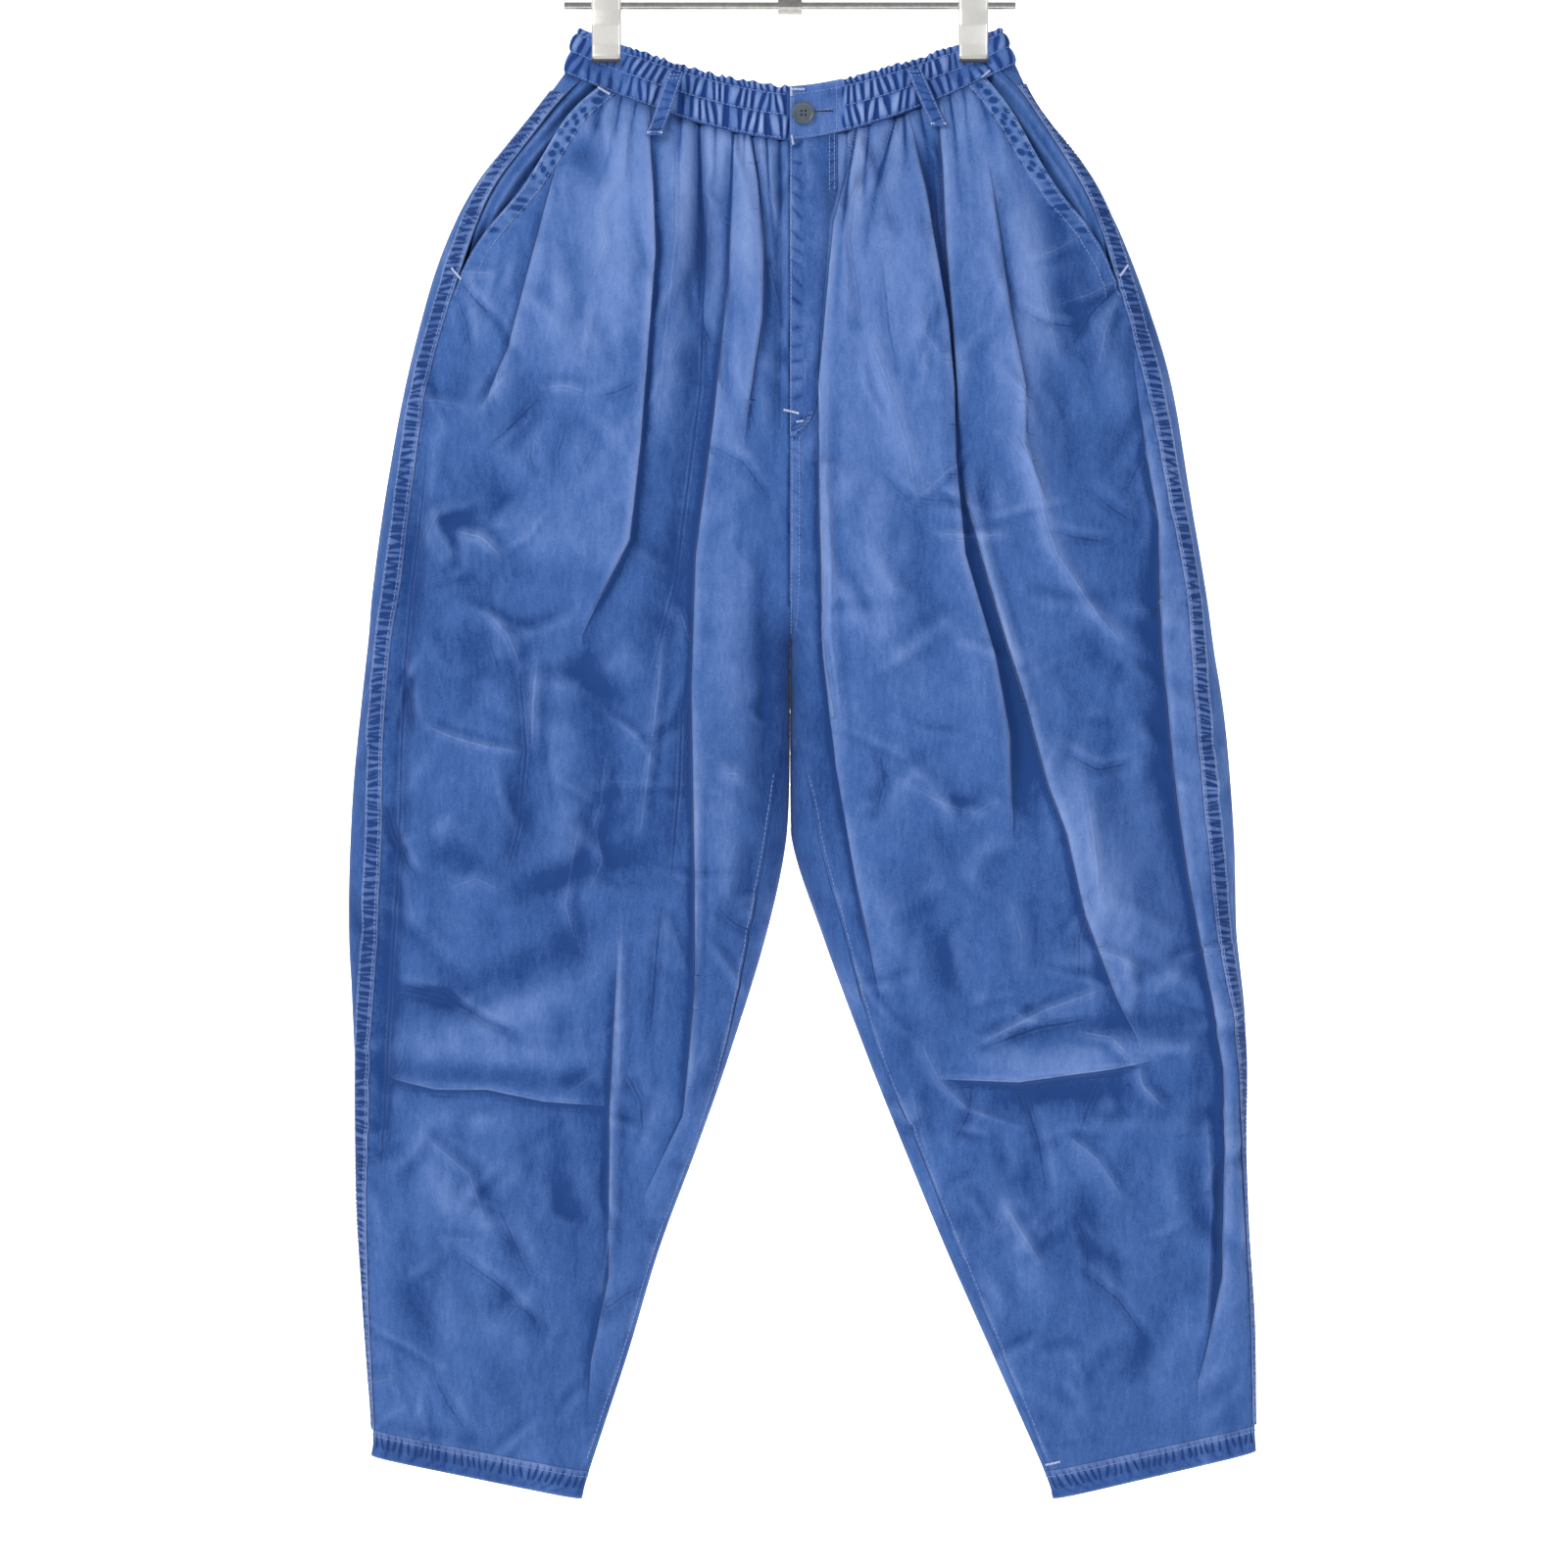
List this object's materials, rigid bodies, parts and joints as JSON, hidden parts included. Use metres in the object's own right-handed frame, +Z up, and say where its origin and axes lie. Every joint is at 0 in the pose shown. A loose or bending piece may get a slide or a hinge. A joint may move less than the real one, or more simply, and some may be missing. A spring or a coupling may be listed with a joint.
{
  "type": "balloon trousers on a clip hanger",
  "caption": "Balloon trousers with a ruffled elastic waistband, slant pockets and tapered legs, hung flat from a clip hanger.",
  "frame": {"origin": "underside of the hook's crown, where a rail carries the hanger", "axes": "+Z up, -Y out of the front of the trousers, +X towards the wearer's left"},
  "size_m": [0.611, 0.0767, 1.1038],
  "materials": {
    "twill": "washed blue cotton twill",
    "twill_seams": "washed blue cotton twill, doubled and topstitched",
    "button": "slate grey four-hole button",
    "hanger_steel": "satin plated steel"
  },
  "bodies": {
    "root": {"front_right": "twill", "front_left": "twill", "back_right": "twill", "back_left": "twill", "waistband": "twill", "pocket_facing_right": "twill", "pocket_facing_left": "twill", "side_seam_right": "twill_seams", "side_seam_left": "twill_seams", "fly": "twill_seams", "hem_right": "twill_seams", "hem_left": "twill_seams", "belt_loop_front_right": "twill_seams", "belt_loop_front_left": "twill_seams", "belt_loop_back_right": "twill_seams", "belt_loop_back_centre": "twill_seams", "belt_loop_back_left": "twill_seams", "waist_button": "button", "hanger_rod": "hanger_steel", "hook_socket": "hanger_steel", "hanger_hook": "hanger_steel", "clip_right_barrel": "hanger_steel", "clip_right_front": "hanger_steel", "clip_right_back": "hanger_steel", "clip_left_barrel": "hanger_steel", "clip_left_front": "hanger_steel", "clip_left_back": "hanger_steel"}
  },
  "joints": []
}
